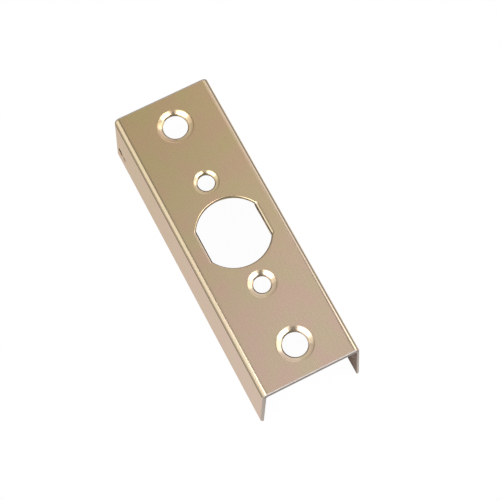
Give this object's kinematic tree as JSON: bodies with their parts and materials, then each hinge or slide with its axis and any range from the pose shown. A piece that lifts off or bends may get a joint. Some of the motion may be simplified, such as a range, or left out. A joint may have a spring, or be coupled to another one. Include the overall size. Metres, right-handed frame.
{
  "type": "door edge guard",
  "caption": "Folded sheet metal channel that wraps a door's edge around its latch, with dished screw holes and a flat-sided latch opening.",
  "frame": {"origin": "on the floor plane of the two free flange edges, under the middle of the front face", "axes": "+X across the door's edge, +Y along the door's edge (the end with the rack hole), +Z out of the door, normal to the front face"},
  "size_m": [0.0406, 0.1206, 0.0286],
  "materials": {
    "plated_brass": "satin brass plating on folded sheet, lightly marked"
  },
  "bodies": {
    "root": {"edge_guard": "plated_brass"}
  },
  "joints": []
}
